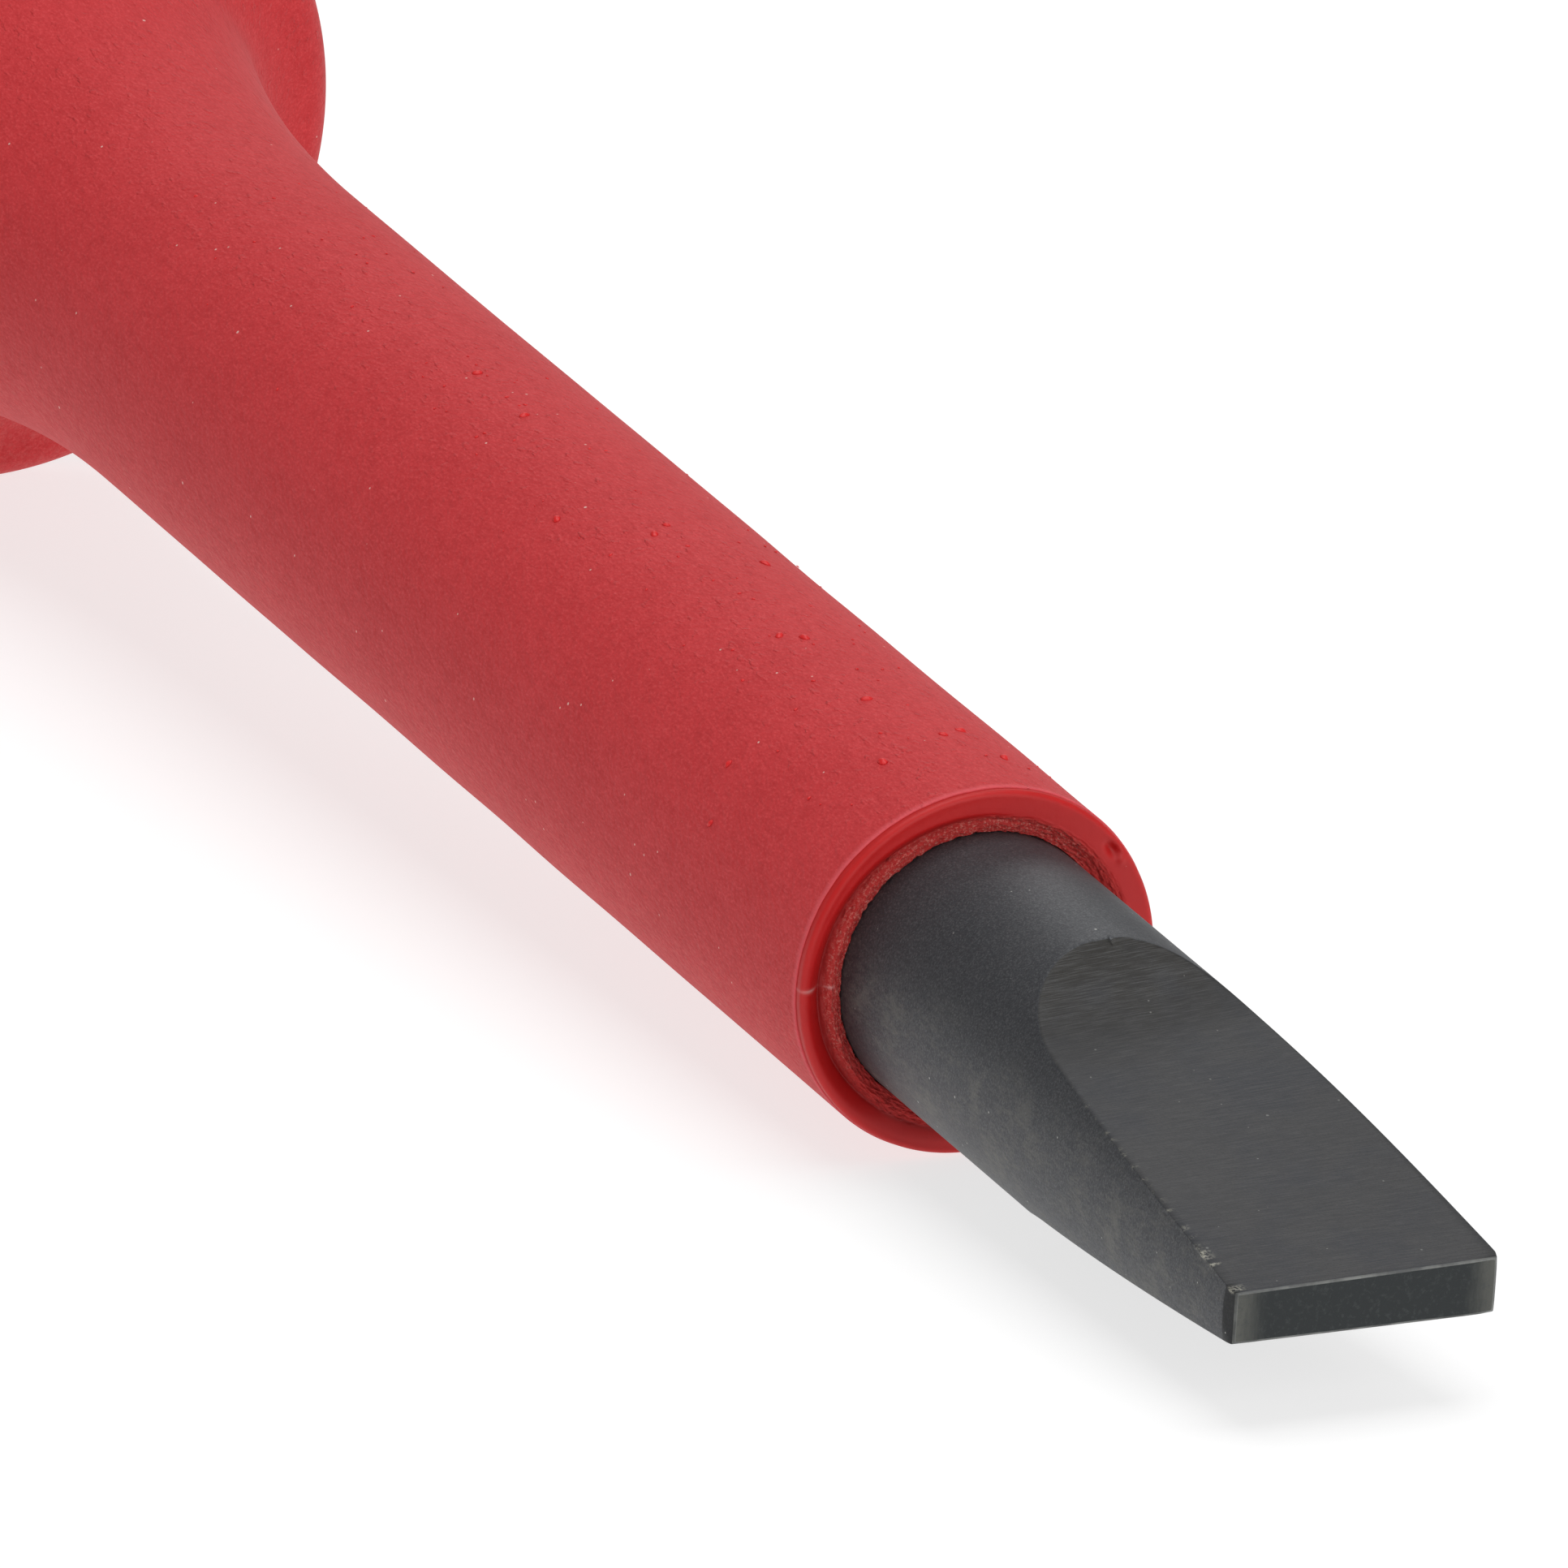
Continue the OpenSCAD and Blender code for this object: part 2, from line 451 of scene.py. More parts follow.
# %% Lines and arcs of a profile
def line(start, stop, spacing):
    """Points from start to just before stop, in (along, radius)."""
    start, stop = np.array(start, float), np.array(stop, float)
    count = max(1, math.ceil(np.linalg.norm(stop - start) / spacing))
    return start + (stop - start) * (np.arange(count) / count)[:, None]


def arc(centre, r, start, stop, spacing):
    """Points on a circle, centre plus r times (cos, sin), between two angles in degrees."""
    count = max(3, math.ceil(abs(math.radians(stop - start)) * r / spacing))
    turn = np.radians(np.linspace(start, stop, count, endpoint=False))
    return np.array(centre) + r * np.stack([np.cos(turn), np.sin(turn)], axis=1)


def turned(profile, columns):
    """The profile at every angle: tables of place, radius and angle, one row per profile point."""
    theta = np.linspace(0, full_turn, columns, endpoint=False)
    return (np.repeat(profile[:, :1], columns, axis=1), np.repeat(profile[:, 1:], columns, axis=1),
            np.repeat(theta[None, :], len(profile), axis=0))


print("a quarter circle of radius 2, in steps of 0.5, has", len(arc((0, 0), 2, 0, 90, 0.5)), "points")

# %% [markdown]
# ## The hard core and its mouth
#
# The core is a smooth, saturated red tube. At the mouth it shows a rounded nose, a groove and a thin
# rough ridge round the steel. The end face is written as a depth behind the mouth for each radius:
# the groove's outer wall slopes in, the ridge is a roof with two sides, and the surface is whichever
# stands further forward, blended softly where they meet. The pin that moulded the groove sat off
# centre, so the groove is wide and deep on one side and nearly closed on the other: the radius where
# it starts is a circle about a shifted centre.
#
# The mould closed on the middle plane, so a nick of the parting line shows on each side, and the
# nose was dented on one side while it was still warm.

# %% Depth of the mouth's end face
nose_r = barrel_r - 0.12
core_r = barrel_r - 1.6
bore_r = bar_r + 0.05
nose_round = 0.4
nose_back_x = mouth_x - 7
groove_r, groove_shift, groove_side = 11.35, 0.75, 200
wall_slope, wall_ease = 1.35, 0.3
ridge_r, ridge_depth = 10.3, 0.34
ridge_outer, ridge_inner = 1.3, 0.4
roof_blend, foot_blend = 0.05, 0.04
closed_side, closed_share = 285, 0.7


def soft_most(first, second, blend):
    """The larger of two values, plus blend times log(1 + exp(-gap / blend)) for a rounded hand-over."""
    gap = np.abs(first - second) / blend
    return np.maximum(first, second) + blend * np.log1p(np.exp(-gap))


def angle_from(theta, degrees):
    """Signed angle from a direction, in radians, between -pi and pi."""
    return np.angle(np.exp(1j * (theta - math.radians(degrees))))


def closed(theta):
    """How nearly the groove is closed: one on the underside, zero on the top and the left."""
    return step(1.3, 0.8, np.abs(angle_from(theta, closed_side)))


def mouth_depth(r, theta):
    """Depth of the end face behind the mouth: the lesser of the groove's wall and the ridge's roof.

    The wall eases in and then slopes. The roof is the larger of two slopes that meet at ridge_r.
    """
    groove_start = groove_r + groove_shift * np.cos(theta - math.radians(groove_side))
    run_in = np.maximum(groove_start - r, 0)
    wall = wall_slope * (run_in - wall_ease * (1 - np.exp(-run_in / wall_ease)))
    outer_side = ridge_depth + ridge_outer * (r - ridge_r)
    inner_side = ridge_depth + ridge_inner * (ridge_r - r)
    roof = soft_most(outer_side, inner_side, roof_blend)
    return -soft_most(-wall, -roof, foot_blend) * (1 - closed_share * closed(theta))


print(f"on the right, the ridge stands {float(mouth_depth(ridge_r, 0.0)):.2f} mm behind the mouth")

# %% Core profile
gap_back_x = mouth_x - 14
end_r = np.linspace(nose_r - nose_round, bore_r, 48)
core_profile = np.vstack([
    line((core_back_x, bar_r), (core_back_x, core_r), 0.5),
    line((core_back_x, core_r), (nose_back_x, core_r), 12),
    line((nose_back_x, core_r), (nose_back_x, nose_r), 0.5),
    line((nose_back_x, nose_r), (mouth_x - nose_round, nose_r), 0.25),
    arc((mouth_x - nose_round, nose_r - nose_round), nose_round, 90, 0, 0.09),
    np.stack([np.full(len(end_r), mouth_x), end_r], axis=1),
    line((mouth_x - 1.6, bore_r), (mouth_x - 4, bore_r), 0.3),
    line((mouth_x - 4, bore_r), (gap_back_x, bore_r), 3),
    line((gap_back_x, bore_r), (gap_back_x, bar_r), 0.3),
    line((gap_back_x, bar_r), (core_back_x, bar_r), 16),
])
x, r, theta = turned(core_profile, 480)
on_end = (x > mouth_x - 0.001) & (r < nose_r - nose_round + 0.001)
x = np.where(on_end, x - mouth_depth(r, theta), x)
print(f"the groove is {(mouth_x - x[on_end]).max():.2f} mm deep at most")


# %% Soften the nose
def ripple(angle, seed, waves=9, falloff=1.0):
    """A smooth closed wobble around the bar, about -1 to 1: the sum of cos(k angle + phase) / k.

    Each wave's phase and size are drawn from the seed. A falloff below 1 makes it rougher.
    """
    draw = np.random.default_rng(seed)
    k = np.arange(1, waves + 1)
    size = k ** -falloff * draw.uniform(0.5, 1.0, waves)
    phase = draw.uniform(0, full_turn, waves)
    wave = np.cos(np.multiply.outer(angle, k) + phase) @ size
    return wave / size.sum() * 1.6


crest_waver, side_waver, settled = 0.05, 0.05, 0.05
near_mouth = step(mouth_x - 4, mouth_x - 1.3, x)
crest = near_mouth * spot(r, nose_r - 0.5, 0.6)
x = x + crest * (crest_waver * ripple(theta, 5) - settled)
r = r + near_mouth * side_waver * ripple(theta, 6) * step(10.8, nose_r, r)
print(f"the nose's crest wavers by {np.ptp(ripple(theta[0], 5)) * crest_waver:.2f} mm")

# %% Roughen the lip
lip_stops, lip_starts, valley_r = 11.0, 10.6, 10.85
grain_along, grain_across, lump_along = 0.10, 0.04, 0.12
end_rows = step(mouth_x - 2.0, mouth_x - 1.2, x)
# Where the groove's valley is painted darker on one side, as painted shade.
valley = spot(r, valley_r, 0.22) * end_rows * step(1.9, 1.3, np.abs(angle_from(theta, 190)))
on_lip = step(lip_stops, lip_starts, r) * end_rows
dusty = step(1.7, 1.2, np.abs(angle_from(theta, 128)))
grain = np.random.default_rng(11).normal(0, 1, x.shape)
grain = (grain + np.roll(grain, 1, 1) + np.roll(grain, -1, 1)) / 3
x = x + on_lip * (grain_along * grain + lump_along * ripple(theta, 12, 14, 0.5))
r = r + on_lip * grain_across * np.roll(grain, 7, 1)
print(f"grain on the lip: {grain_along * grain.std():.3f} mm along the bar")

# %% Dent, parting line, and the core itself
dent_depth, dent_rise, seam_depth = 0.4, 0.15, 0.08
dent = near_mouth * spot(angle_from(theta, 40), 0, 0.05) * spot(r, nose_r - 0.75, 0.35)
dent_lip = near_mouth * spot(angle_from(theta, 35), 0, 0.03) * spot(r, nose_r - 0.7, 0.3)
x = x - dent_depth * dent + dent_rise * dent_lip

seam = sum(spot(angle_from(theta, side), 0, 0.009) for side in (0, 180))
seam = seam * near_mouth * np.clip(spot(r, nose_r - 0.7, 0.6) + spot(r, ridge_r, 0.25), 0, 1)
x = x - seam_depth * seam
grip_core = make_piece(
    "smooth_grip_core", around(r, x, theta), loop=True,
    stands_for="grip_core",
    paint={"lip": on_lip, "seam": np.clip(seam, 0, 1), "valley": valley, "dusty": dusty})

# %% [markdown]
# ## The soft skin and hand guard
#
# The outer moulding is thin on the barrel and swells into a mushroom guard that stops the hammer
# from reaching the hand. Its outline is a long gentle sweep, a tight sweep up to the front face, a
# round rim and a shallow dome at the back. Each arc starts where the one before it ends and points
# the same way there, so no crease shows between them. At the front the skin thins to a film over the
# core's nose.

# %% Skin profile
sweep_r, sweep_turn = 120.0, 15.5
throat_r, front_turn = 7.6, 78.0
rim_r, dome_r = 2.8, 100.0


def inward(degrees):
    """Unit step from a sweep's centre to its outline, in (along, radius)."""
    a = math.radians(degrees)
    return np.array([-math.sin(a), -math.cos(a)])


sweep_c = np.array([flare_x, barrel_r + sweep_r])
sweep_end = sweep_c + sweep_r * inward(sweep_turn)
throat_c = sweep_end - throat_r * inward(sweep_turn)
throat_end = throat_c + throat_r * inward(front_turn)
front_a = math.radians(front_turn)
face_run = (guard_r - rim_r - throat_end[1] + rim_r * math.cos(front_a)) / math.sin(front_a)
rim_start = throat_end + face_run * np.array([-math.cos(front_a), math.sin(front_a)])
rim_c = rim_start + rim_r * inward(front_turn)
dome_x = rim_c[0] + math.sqrt((dome_r - rim_r) ** 2 - rim_c[1] ** 2)
dome_turn = math.degrees(math.asin(rim_c[1] / (dome_r - rim_r)))
dome_start = math.degrees(math.asin(core_r / dome_r))
dome_hole_x = dome_x - math.sqrt(dome_r ** 2 - core_r ** 2)
film_r = nose_r - 0.06
lip_round = 0.09
skin_profile = np.vstack([
    arc((dome_x, 0), dome_r, 180 - dome_start, 180 - dome_turn, 0.8),
    arc(rim_c, rim_r, 180 - dome_turn, 90 - front_turn, 0.35),
    line(rim_start, throat_end, 0.5),
    arc(throat_c, throat_r, 270 - front_turn, 270 - sweep_turn, 0.5),
    arc(sweep_c, sweep_r, 270 - sweep_turn, 270, 1.0),
    line((flare_x, barrel_r), (skin_front_x - 14, barrel_r), 1.0),
    line((skin_front_x - 14, barrel_r), (skin_front_x - lip_round, barrel_r), 0.4),
    arc((skin_front_x - lip_round, barrel_r - lip_round), lip_round, 90, 0, 0.03),
    line((skin_front_x, barrel_r - lip_round), (skin_front_x, film_r), 0.4),
    line((skin_front_x, film_r), (nose_back_x, film_r), 1.0),
    line((nose_back_x, film_r), (nose_back_x, core_r), 0.5),
    line((nose_back_x, core_r), (dome_hole_x, core_r), 16),
])
x, r, theta = turned(skin_profile, 300)
print(f"guard rim at {rim_c[0]:.1f} mm, back of the dome at {x.min():.1f} mm")

# %% [markdown]
# The front edge was never trimmed straight, so it wavers: a slow ripple, and a finer and rougher one
# on top. The barrel was pulled warm from its mould, so it isn't perfectly round either. Two waves
# that creep around it as they run along it lift and sink it by a few hundredths of a millimetre.

# %% Uneven front edge and slight waves on the barrel
edge_forward, slow_waver, fine_waver = 1.35, 0.16, 0.09
wave_height, wave_sink = 0.03, 0.02
front = step(skin_front_x - 4, skin_front_x, x)
front_edge = step(skin_front_x - 0.35, skin_front_x - 0.05, x)
waver = slow_waver * ripple(theta, 21, 5) + fine_waver * ripple(theta, 22, 60, 0.2)
x = x + front * (edge_forward + waver)
outside = step(core_r + 0.2, core_r + 0.8, r)
long_wave = ripple(theta + 0.01 * x, 23, 7) * np.cos(0.11 * x + 1.3)
short_wave = ripple(theta - 0.02 * x, 24, 11) * np.cos(0.31 * x)
r = r + outside * (wave_height * (long_wave + short_wave) - wave_sink)
print(f"the front edge wavers over {np.ptp(waver):.2f} mm")
grip_skin = make_piece(
    "soft_grip_skin_and_guard", around(r, x, theta), loop=True,
    stands_for="hand_guard_grip", paint={"front_edge": front_edge})

# %% [markdown]
# ## Moulding pimples
#
# Pores in the mould's wall leave small raised pimples on the skin, mostly along the top. Each is a
# low dome on a small grid: rings of growing radius around a pole. Its height falls with the square
# of the radius, and its foot lies a little below the skin. Real ones are scattered, so most places
# are drawn at random from a fixed seed, and the large ones are listed. All are one mesh.

# %% Scatter the pimples
# Millimetres behind the mouth, and degrees around the bar
big_pimples = np.array([
    (78, 94), (70, 95), (48, 98), (49, 92), (42, 74), (29, 97), (28, 91), (17, 94),
    (10, 84), (11, 76), (6.6, 71), (8, 108), (19, 139), (17, 156), (55, 116)])
big_count, small_count = len(big_pimples), 110
draw = np.random.default_rng(7)
behind = np.concatenate([big_pimples[:, 0], draw.uniform(5, 118, small_count)])
turn = np.radians(np.concatenate([big_pimples[:, 1], draw.normal(92, 26, small_count)]))
wide = np.concatenate([draw.uniform(0.26, 0.42, big_count), draw.uniform(0.06, 0.15, small_count)])
print(f"{big_count} large pimples, up to {2 * wide.max():.2f} mm across, and {small_count} small ones")

# %% Raise a low dome at each place
ring = np.linspace(0.2, 1, 5)[None, :, None]
spoke = np.linspace(0, full_turn, 9, endpoint=False)[None, None, :]
wide, turn, behind = (value[:, None, None] for value in (wide, turn, behind))
oval, dome_height, sunk = 0.25, 0.6, 0.1
out = wide * ring * (1 + oval * np.cos(2 * spoke + 40 * turn))
height = wide * (dome_height * (1 - ring ** 2) - sunk)
pimples = around(barrel_r + height, mouth_x - behind + out * np.cos(spoke),
                 turn + out * np.sin(spoke) / barrel_r)
moulding_pimples = make_piece("moulding_pimples", pimples)

# %% [markdown]
# ## Writing materials as arithmetic
#
# A material is a small calculation on the surface: where is this point, how strong is the grain
# here, what colour comes of it. A class wraps a node's output so that + - * add Math nodes, and the
# calculation reads like the formula it is. Any other node comes from add().

# %% Arithmetic on node outputs
class Wire:
    """A node output that can be added, subtracted and multiplied, from either side."""

    def __init__(self, finish, socket):
        self.finish, self.socket = finish, socket

    def math(self, operation, first, second):
        return self.finish.add("Math", {"operation": operation}, {0: first, 1: second})

    def __add__(self, other):
        return self.math("ADD", self, other)

    def __sub__(self, other):
        return self.math("SUBTRACT", self, other)

    def __rsub__(self, other):
        return self.math("SUBTRACT", other, self)

    def __mul__(self, other):
        return self.math("MULTIPLY", self, other)

    __radd__ = __add__
    __rmul__ = __mul__


print("wires take + - * with a number or a wire on either side")


# %% A material being built
class Finish:
    """A material being built. mm is the Object coordinate in millimetres, and x, y, z its parts."""

    def __init__(self, name):
        self.material = bpy.data.materials.new(name)
        self.material.use_nodes = True
        self.tree = self.material.node_tree
        self.tree.nodes.clear()
        place = self.add("TexCoord", output="Object")
        self.mm = self.add("Mapping", {}, {"Vector": place, "Scale": (1000, 1000, 1000)})
        parts = self.add("SeparateXYZ", {}, {0: self.mm}).socket.node.outputs
        self.x, self.y, self.z = (Wire(self, parts[k]) for k in range(3))

    def add(self, kind, settings=None, sockets=None, output=0):
        """A node of that kind: its settings first, then its sockets' values or links."""
        node = self.tree.nodes.new("ShaderNode" + kind)
        for key, value in (settings or {}).items():
            setattr(node, key, value)
        for key, value in (sockets or {}).items():
            if isinstance(value, Wire):
                self.tree.links.new(value.socket, node.inputs[key])
            else:
                node.inputs[key].default_value = value
        return Wire(self, node.outputs[output])

    def stretched(self, scale):
        """The millimetre coordinate, stretched by a scale along each axis."""
        return self.add("Mapping", {}, {"Vector": self.mm, "Scale": scale})

    def noise(self, size, detail=3.0, rough=0.5, where=None):
        """Cloudy noise from 0 to 1 with features of about size millimetres."""
        sockets = {"Vector": where or self.mm, "Scale": 1 / size, "Detail": detail, "Roughness": rough}
        return self.add("TexNoise", {}, sockets)

    def cells(self, size, feature="F1", output="Distance", where=None):
        """Distance to the middle of the nearest random cell, cells being about size millimetres."""
        sockets = {"Vector": where or self.mm, "Scale": 1 / size}
        return self.add("TexVoronoi", {"feature": feature}, sockets, output)

    def ease(self, low, high, value):
        """Zero below low, one above high, smooth between."""
        sockets = {"Value": value, "From Min": low, "From Max": high}
        return self.add("MapRange", {"interpolation_type": "SMOOTHSTEP"}, sockets)

    def attribute(self, name):
        """A value painted on the mesh's points."""
        return self.add("Attribute", {"attribute_name": name}, {}, "Fac")

    def mix(self, amount, first, second):
        """Two colours mixed by an amount from 0 to 1: first (1 - amount) + second amount."""
        settings = {"data_type": "RGBA", "clamp_factor": True}
        return self.add("Mix", settings, {0: amount, 6: first, 7: second}, 2)

    def specks(self, size, radius, share):
        """Small round specks near the middles of a share of the cells, those with a high tint."""
        tint = self.add("SeparateColor", {}, {0: self.cells(size, output="Color")})
        near = self.ease(radius / size, 0.6 * radius / size, self.cells(size))
        return near * self.ease(1 - share, 1.001 - share, tint)

    def bump(self, height_mm):
        """A normal from a height in millimetres."""
        return self.add("Bump", {}, {"Height": height_mm, "Distance": MM})

    def principled(self, **sockets):
        """A Principled shader; names of sockets with _ for a space."""
        sockets = {key.replace("_", " "): value for key, value in sockets.items()}
        return self.add("BsdfPrincipled", {}, sockets)

    def output(self, shader, piece):
        """Ends the material and puts it on the piece."""
        end = self.tree.nodes.new("ShaderNodeOutputMaterial")
        self.tree.links.new(shader.socket, end.inputs["Surface"])
        piece.data.materials.clear()
        piece.data.materials.append(self.material)
        print(f"{self.material.name}: {len(self.tree.nodes)} nodes")


print("a finish can be built from", [name for name in vars(Finish) if not name.startswith("_")])


# %% Display colours
def rgb(red, green, blue):
    """A display colour from 0 to 255 as the linear colour that the shader wants.

    Each level is divided by 12.92 if it is dark, and else it is ((level + 0.055) / 1.055) ** 2.4.
    """
    levels = [c / 255 for c in (red, green, blue)]
    return tuple(c / 12.92 if c <= 0.04045 else ((c + 0.055) / 1.055) ** 2.4 for c in levels) + (1,)


print(f"a display level of 128 is {rgb(128, 128, 128)[0]:.3f} in linear light")

# %% [markdown]
# ## Dull red rubber
#
# The skin's finish is dull because its mould was spark-eroded: a pebble of dimples a third of a
# millimetre wide scatters the light. On it come a soft unevenness of tone, a few white specks of
# dust, and a pale mottled band of painted sheen low on one side.

# %% Rubber: grain and lumps
rubber = Finish("pebbled_red_rubber")
drawn = rubber.stretched((0.5, 1, 1))
pebble = rubber.cells(0.3, "SMOOTH_F1", where=drawn)
fine_grain = rubber.noise(0.16, 3, 0.65, drawn)
broad = rubber.noise(9, 3, 0.55)
patchy = rubber.noise(0.9, 4, 0.65, drawn)
upper = rubber.ease(2.0, 12.0, rubber.z + 0.35 * rubber.y)
lumps = rubber.ease(0.56, 0.78, rubber.noise(0.55, 2, 0.5, drawn)) * upper
pebble_mm, grain_mm, lump_mm = 0.05, 0.035, 0.09
height = pebble_mm * pebble + grain_mm * fine_grain + lump_mm * lumps
print(f"pebble {pebble_mm} mm deep, grain {grain_mm} mm, lumps on the upper side {lump_mm} mm")

# %% Rubber: tone
rubber_red, paler_red, patch_red = rgb(187, 42, 46), rgb(201, 53, 57), rgb(176, 36, 40)
grain_top, grain_pit, lump_highlight_red = rgb(218, 78, 80), rgb(168, 24, 28), rgb(198, 56, 58)
sheen_pink, dust_pink, edge_pink = rgb(204, 110, 106), rgb(226, 190, 180), rgb(222, 96, 104)
tone = rubber.mix(broad, rubber_red, paler_red)
tone = rubber.mix(0.4 * rubber.ease(0.42, 0.68, patchy), tone, patch_red)
tone = rubber.mix(0.42 * rubber.ease(0.5, 0.68, fine_grain), tone, grain_top)
tone = rubber.mix(0.32 * rubber.ease(0.48, 0.34, fine_grain), tone, grain_pit)
# The lumps lie on the upper side only, and a lighter red is mixed onto them as a painted highlight.
tone = rubber.mix(0.3 * lumps, tone, lump_highlight_red)
# A pale, mottled band low on one side of the skin: painted sheen.
low_side = rubber.ease(7.5, 12.4, -0.62 * rubber.y - 0.78 * rubber.z)
sheen_band = low_side * rubber.ease(0.42, 0.72, rubber.noise(0.5, 5, 0.75))
tone = rubber.mix(0.3 * sheen_band, tone, sheen_pink)
dust = rubber.specks(1.9, 0.10, 0.5) + rubber.specks(3.1, 0.13, 0.4)
tone = rubber.mix(0.75 * dust, tone, dust_pink)
tone = rubber.mix(0.55 * rubber.attribute("front_edge"), tone, edge_pink)
skin_shader = rubber.principled(
    Base_Color=tone, Roughness=0.62 + 0.14 * patchy, Normal=rubber.bump(height),
    Specular_IOR_Level=0.26, Sheen_Weight=0.05, Sheen_Roughness=0.5, Sheen_Tint=(1.0, 0.85, 0.85, 1))
rubber.output(skin_shader, grip_skin)

# %% [markdown]
# ## Shinier pimples
#
# A pimple is rubber that filled a pore, where the mould's wall has no pebble. It looks smoother,
# shinier and a purer red than the skin around it, so it gets a finish of its own.

# %% Pimple finish
pimple_red = Finish("shiny_red_pimples")
tone = pimple_red.mix(pimple_red.noise(0.6, 2), rgb(200, 14, 18), rgb(222, 30, 34))
pimple_shader = pimple_red.principled(
    Base_Color=tone, Roughness=0.36 + 0.2 * pimple_red.noise(0.3, 2),
    Normal=pimple_red.bump(0.03 * pimple_red.noise(0.15, 2)), Specular_IOR_Level=0.45)
pimple_red.output(pimple_shader, moulding_pimples)

# %% [markdown]
# ## Smooth red plastic
#
# The core is the same red without the pebble, so it looks deeper and shinier. A little light enters
# it and comes out redder, which subsurface scattering gives. Its cut lip is rough and holds pale
# dust, and its parting line is a whitish scratch.

# %% Plastic finish
plastic = Finish("smooth_red_plastic_core")
radial = plastic.add("Math", {"operation": "SQRT"}, {0: plastic.y * plastic.y + plastic.z * plastic.z})
flow = plastic.noise(2.6, 3, 0.6)
lip_red, valley_shade_red, crumb_pink = rgb(170, 54, 51), rgb(120, 8, 9), rgb(210, 128, 118)
seam_pink, speck_pink = rgb(218, 150, 148), rgb(220, 170, 165)
tone = plastic.mix(flow, rgb(176, 14, 15), rgb(190, 21, 22))
lip = plastic.attribute("lip")
near_lip = plastic.ease(ridge_r + 0.5, ridge_r + 0.1, radial)
crumbs = plastic.attribute("dusty") * plastic.ease(0.48, 0.68, plastic.noise(0.2, 3, 0.75))
tone = plastic.mix(0.5 * lip, tone, lip_red)
# Painted shade: the groove's valley is darkened.
tone = plastic.mix(0.5 * plastic.attribute("valley"), tone, valley_shade_red)
tone = plastic.mix(0.7 * near_lip * crumbs, tone, crumb_pink)
tone = plastic.mix(0.85 * plastic.attribute("seam"), tone, seam_pink)
tone = plastic.mix(0.6 * plastic.specks(1.6, 0.07, 0.25), tone, speck_pink)
height = 0.02 * plastic.noise(0.5, 3) + 0.04 * lip * plastic.noise(0.12, 2)
core_shader = plastic.principled(
    Base_Color=tone, Roughness=0.45 + 0.12 * flow + 0.3 * lip, Normal=plastic.bump(height),
    Specular_IOR_Level=0.36, Subsurface_Weight=0.3, Subsurface_Radius=(1.0, 0.2, 0.15),
    Subsurface_Scale=0.0012)
plastic.output(core_shader, grip_core)

# %% [markdown]
# ## Blackened steel
#
# The bar was hardened and left with its dark oxide skin, so it reflects little and softly. Warm grey
# patches on the low side of the round bar are a painted reflection. The ground flats were blackened
# too, over fine grinding lines that run across the blade: noise squeezed along the bar and drawn out
# across it. Towards the scoop they are painted darker and browner, a painted reflection. Where the
# flats meet the edge, a pale grey along the rim is a painted highlight.

# %% Steel: oxide on the round bar
steel = Finish("blackened_tool_steel")
pit_grey, fleck_grey, shade_grey = rgb(54, 55, 59), rgb(110, 111, 112), rgb(48, 49, 51)
cloud = steel.noise(5, 4, 0.6)
speckle = steel.noise(0.35, 4, 0.7)
grit = steel.noise(0.14, 3, 0.6)
tone = steel.mix(cloud, rgb(65, 67, 71), rgb(77, 78, 81))
tone = steel.mix(0.5 * steel.ease(0.35, 0.7, speckle), tone, pit_grey)
tone = steel.mix(0.45 * steel.ease(0.48, 0.68, grit), tone, fleck_grey)
tone = steel.mix(0.3 * steel.ease(0.48, 0.34, grit), tone, shade_grey)
# Warm grey patches on the low side of the round bar, mottled by noise: a painted reflection.
reflection_side = steel.ease(3.0, 8.5, -0.8 * steel.y - 0.62 * steel.z)
streaks = steel.noise(0.32, 5, 0.8, steel.stretched((0.3, 1, 1)))
reflection_patches = reflection_side * steel.ease(0.44, 0.66, 0.65 * streaks + 0.35 * steel.noise(2.6, 2))
tone = steel.mix(0.65 * reflection_patches, tone, rgb(115, 114, 109))
print("nodes for the round bar:", len(steel.tree.nodes))

# %% Steel: ground flats
blue_grey, line_grey, ground_pit, ground_haze = (
    rgb(52, 55, 62), rgb(88, 88, 88), rgb(52, 52, 54), rgb(58, 58, 60))
ground = steel.attribute("ground")
lines = steel.noise(0.1, 3, 0.6, steel.stretched((1.6, 0.05, 0.3)))
# Towards the scoop the flat is painted darker and browner: a painted reflection.
scoop_reflection = steel.ease(mouth_x + 31, mouth_x + 19, steel.x)
ground_tone = steel.mix(scoop_reflection, rgb(64, 64, 65), rgb(43, 41, 37))
ground_tone = steel.mix(0.6 * steel.ease(0.4, 0.7, steel.noise(7, 3, 0.6)), ground_tone, blue_grey)
ground_tone = steel.mix(0.55 * steel.ease(0.4, 0.7, lines), ground_tone, line_grey)
ground_tone = steel.mix(0.4 * steel.ease(0.45, 0.68, grit), ground_tone, ground_pit)
ground_tone = steel.mix(0.3 * cloud, ground_tone, ground_haze)
tone = steel.mix(ground, tone, ground_tone)
print("nodes with the ground flats:", len(steel.tree.nodes))

# %% Steel: end face and side bevels
face = steel.attribute("face")
across = steel.add("Math", {"operation": "ABSOLUTE"}, {0: steel.y})
uneven = steel.noise(0.5, 4, 0.7, steel.stretched((1, 1, 0.25))) - 0.5
ends = steel.ease(6.8, 9.2, across + 1.6 * uneven)
face_tone = steel.mix(0.6 * ends, rgb(47, 50, 51), rgb(106, 106, 100))
face_tone = steel.mix(0.5 * steel.ease(0.5, 0.7, speckle), face_tone, rgb(68, 71, 71))
tone = steel.mix(face, tone, face_tone)
tone = steel.mix(0.8 * steel.attribute("corner"), tone, rgb(30, 31, 32))
print("nodes with the end face:", len(steel.tree.nodes))
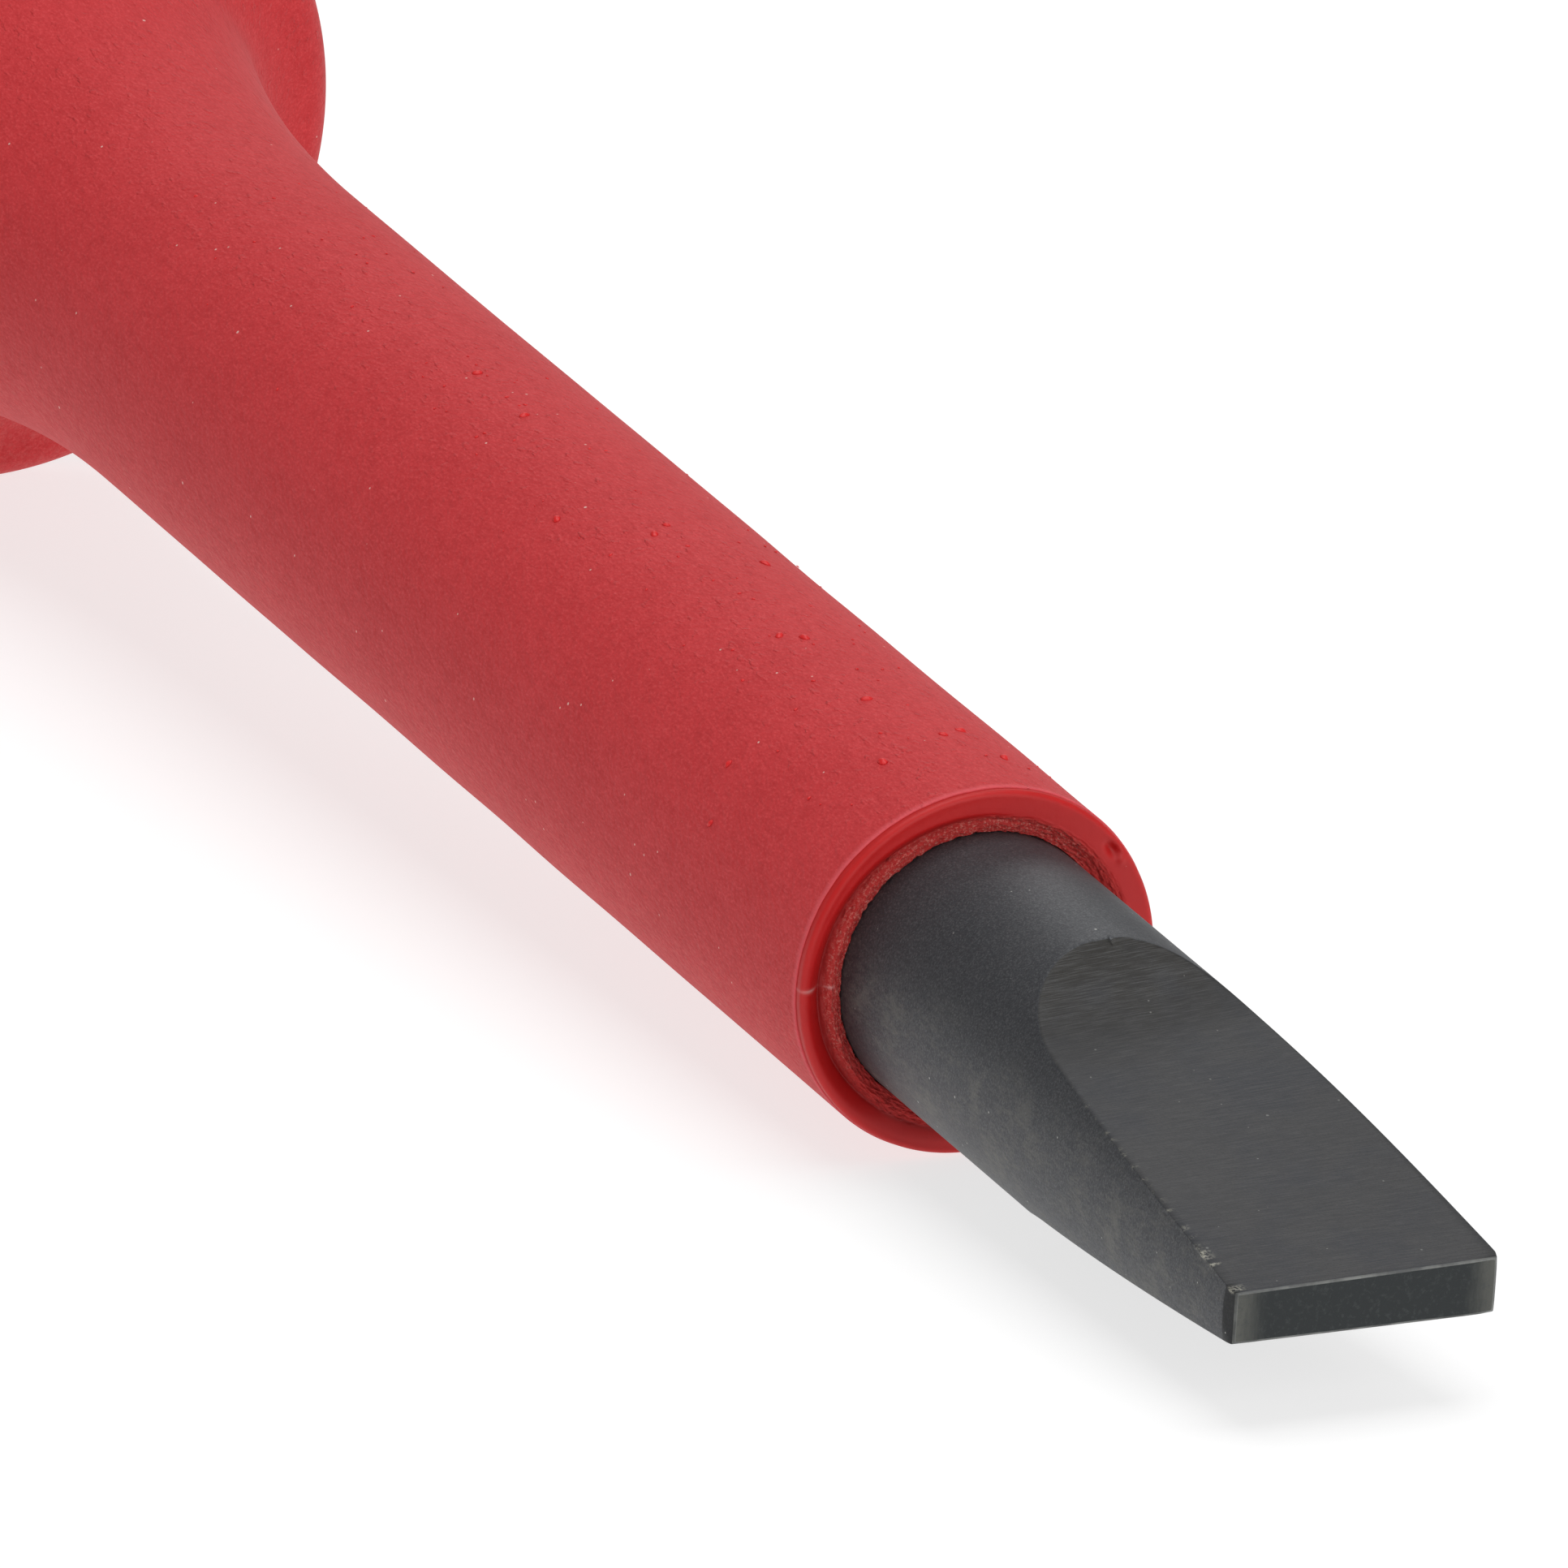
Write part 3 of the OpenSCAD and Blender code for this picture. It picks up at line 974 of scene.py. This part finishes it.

# %% Steel: painted highlight on the worn rim, burr and dust
rim_highlight_grey, burr_steel, dust_grey = rgb(148, 150, 146), rgb(168, 166, 154), rgb(190, 190, 184)
# A pale grey, broken up by noise, on the last rows before the edge: a painted highlight.
worn = steel.attribute("rim") * (0.35 + 0.65 * steel.ease(0.35, 0.65, steel.noise(2.5, 4, 0.6)))
tone = steel.mix(0.5 * worn, tone, rim_highlight_grey)
clusters = steel.ease(mouth_x + 51, mouth_x + 52, steel.x) + steel.ease(0.46, 0.56, steel.noise(1.1, 2))
chips = steel.attribute("burr") * clusters * steel.ease(0.42, 0.56, steel.noise(0.2, 3, 0.7))
tone = steel.mix(0.6 * chips, tone, burr_steel)
dust = steel.specks(2.3, 0.12, 0.4) + steel.specks(1.4, 0.09, 0.5)
tone = steel.mix((0.7 - 0.45 * ground) * dust, tone, dust_grey)
height = 0.010 * speckle + 0.010 * grit + (1 - ground) * 0.010 * streaks + ground * 0.006 * lines
steel_shader = steel.principled(
    Base_Color=tone, Metallic=0.55, Roughness=0.44 + 0.14 * speckle - 0.12 * worn + 0.08 * reflection_patches,
    Normal=steel.bump(height), Specular_IOR_Level=0.3)
steel.output(steel_shader, steel_bar)

# %% [markdown]
# ## Floor
#
# The chisel lies as it would on a bench: it touches with the rim of the guard and the front edge of
# the grip, and the blade stands clear. The floor is the plane under both, so it leans a few degrees
# in the bar's own frame. Its slope follows from the rim's circle and the sharp front edge: the line
# from one to the other, turned by the angle whose sine is the rim's radius over their distance. The
# front edge wavers, so its most forward place is taken.

# %% Floor under the rim and the front of the grip
rim_low = np.array([rim_c[0], -rim_c[1]])
front_low = np.array([skin_front_x + edge_forward + 0.3, -barrel_r])
reach = front_low - rim_low
slope = math.atan2(reach[1], reach[0]) + math.asin(rim_r / np.linalg.norm(reach))
half, clearance = 30.0, 0.05
floor_corners = [(-half, -half, 0), (half, -half, 0), (half, half, 0), (-half, half, 0)]
floor_mesh = bpy.data.meshes.new("studio_floor")
floor_mesh.from_pydata(floor_corners, [], [(0, 1, 2, 3)])
studio_floor = bpy.data.objects.new("studio_floor", floor_mesh)
studio_floor.location = (front_low[0] * MM, 0, (front_low[1] - clearance) * MM)
studio_floor.rotation_euler = (0, -slope, 0)
bpy.context.scene.collection.objects.link(studio_floor)
print(f"floor leans {math.degrees(slope):.2f} degrees")

# %% Paper on the floor
paper = Finish("white_paper_floor")
paper_shader = paper.principled(
    Base_Color=(0.35, 0.35, 0.35, 1), Roughness=0.9, Specular_IOR_Level=0.1,
    Emission_Color=(1, 1, 1, 1), Emission_Strength=0.72)
paper.output(paper_shader, studio_floor)

# %% [markdown]
# ## Camera
#
# A long lens far away shows the chisel nearly without perspective. The camera's place is an azimuth
# around the bar and an elevation above it, and a small roll tips the picture. Its three axes are
# worked out from these angles: back, level, and upright as their cross product.

# %% Camera
azimuth, elevation, roll = (math.radians(a) for a in (63.784, 21.414, 3.706))
distance, focal_length = 2.1375, 763.2
mouth = Vector((mouth_x, 0, 0)) * MM
aim = mouth + Vector((-9.571, -10.072, 10.550)) * MM
flat_part = math.cos(elevation)
back = Vector((math.sin(azimuth) * flat_part, -math.cos(azimuth) * flat_part, math.sin(elevation)))
level = Vector((math.cos(azimuth), math.sin(azimuth), 0))
upright = back.cross(level)
right_axis = level * math.cos(roll) + upright * math.sin(roll)
up_axis = upright * math.cos(roll) - level * math.sin(roll)
camera_data = bpy.data.cameras.new("camera")
camera_data.lens, camera_data.sensor_width = focal_length, 36
camera_data.clip_start, camera_data.clip_end = 0.1, 100
camera = bpy.data.objects.new("camera", camera_data)
axes = Matrix((right_axis, up_axis, back)).transposed().to_4x4()
camera.matrix_world = Matrix.Translation(aim + back * distance) @ axes
bpy.context.scene.collection.objects.link(camera)
bpy.context.scene.camera = camera
print(f"the camera stands {distance:.2f} m from its aim, with a {focal_length:.0f} mm lens")

# %% [markdown]
# ## Soft studio light
#
# Three softboxes light the chisel: a large one overhead, one in front that opens up the mouth and
# the edge, and a small one behind that draws a faint line along the far side. A pale room fills the
# shadows, and the Standard view keeps the colours as they are mixed.

# %% Softboxes and room
def softbox(name, place, size, power):
    """A square area light at a place, turned towards the mouth, that the camera can't see."""
    data = bpy.data.lights.new(name, "AREA")
    data.size, data.energy = size, power
    lamp = bpy.data.objects.new(name, data)
    lamp.location = place
    lamp.rotation_mode = "QUATERNION"
    lamp.rotation_quaternion = (Vector(place) - mouth).to_track_quat("Z", "Y")
    lamp.visible_camera = False
    bpy.context.scene.collection.objects.link(lamp)
    print(f"{name}: {size} m wide, {power} W")


softbox("top_softbox", (0.15, 0.0, 1.3), 1.1, 11.3)
softbox("front_softbox", (1.3, 0.2, 0.5), 0.9, 6)
softbox("back_softbox", (-0.8, 0.46, 0.47), 0.4, 1.1)
world = bpy.data.worlds.new("pale_room")
world.use_nodes = True
room = world.node_tree.nodes["Background"].inputs
room["Color"].default_value, room["Strength"].default_value = (1, 1, 1, 1), 0.29
bpy.context.scene.world = world
bpy.context.scene.view_settings.view_transform = "Standard"

# %% [markdown]
